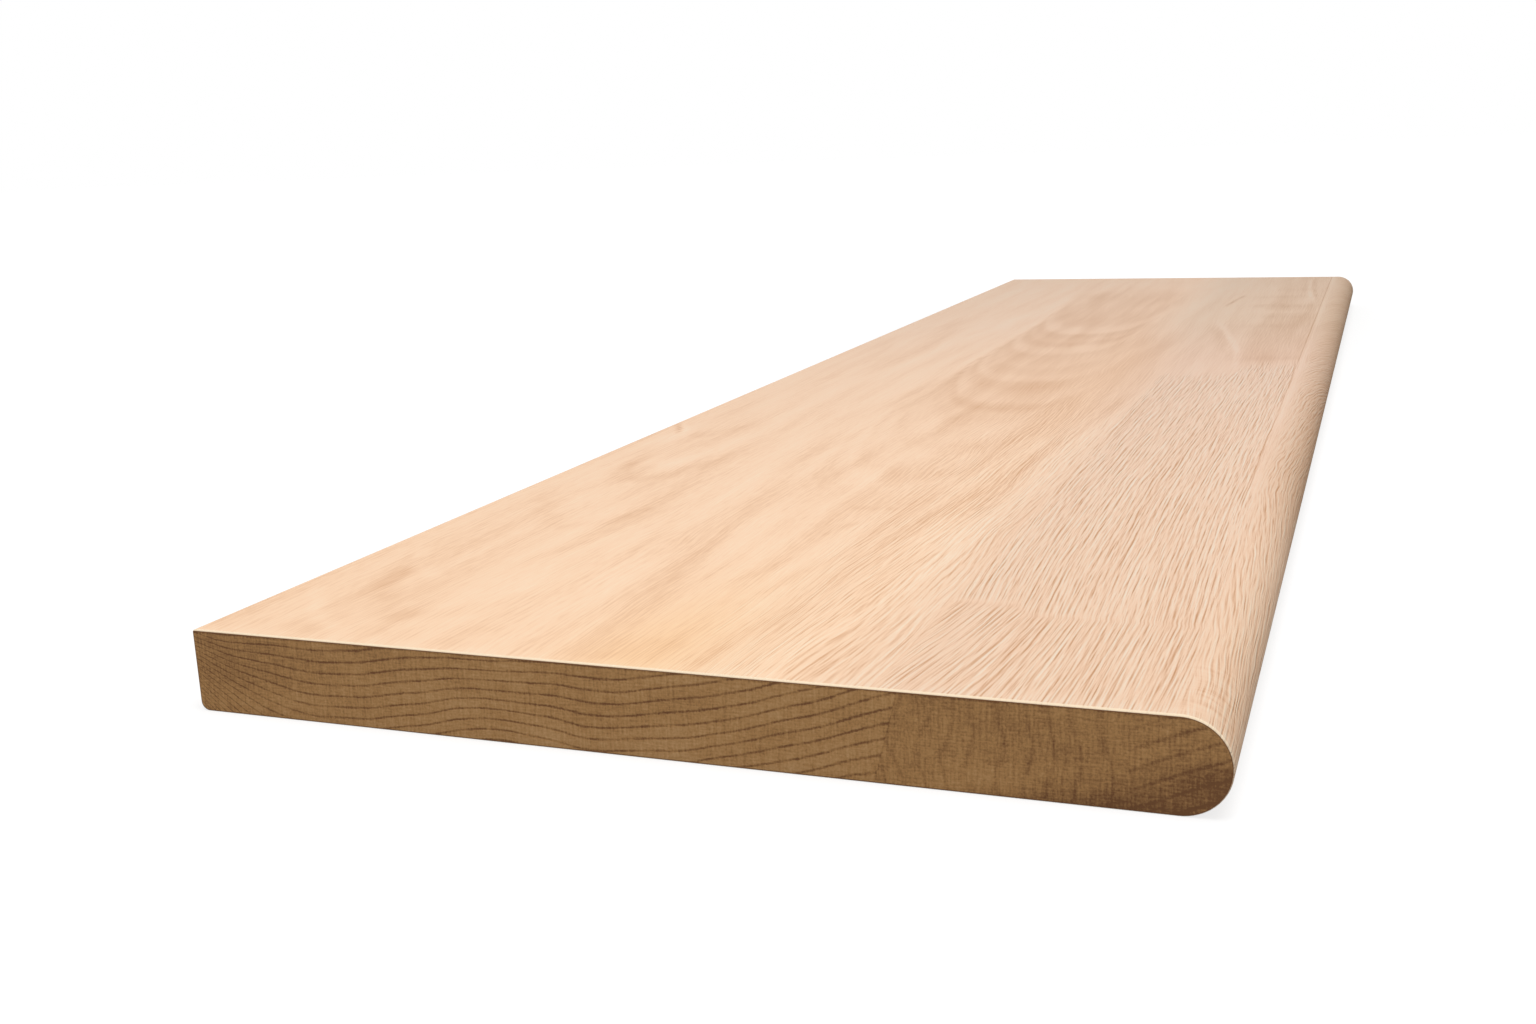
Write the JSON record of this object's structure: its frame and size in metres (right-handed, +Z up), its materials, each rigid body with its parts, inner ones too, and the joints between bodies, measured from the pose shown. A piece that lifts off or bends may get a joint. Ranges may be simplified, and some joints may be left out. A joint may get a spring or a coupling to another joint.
{
  "type": "stair tread",
  "caption": "Solid oak stair tread: a long flat board with one edge moulded to a full half-round nosing, a square back edge and square-sawn ends.",
  "frame": {"origin": "middle of the underside: halfway along the length, halfway between the back edge and the tip of the nosing", "axes": "+X along the length, +Y towards the square back edge, so the nosing faces -Y, +Z up out of the walking surface"},
  "size_m": [1.2, 0.32, 0.027],
  "materials": {
    "oak": "planed and sanded bare oak, matt, with open grain"
  },
  "bodies": {
    "root": {"tread_board": "oak"}
  },
  "joints": []
}
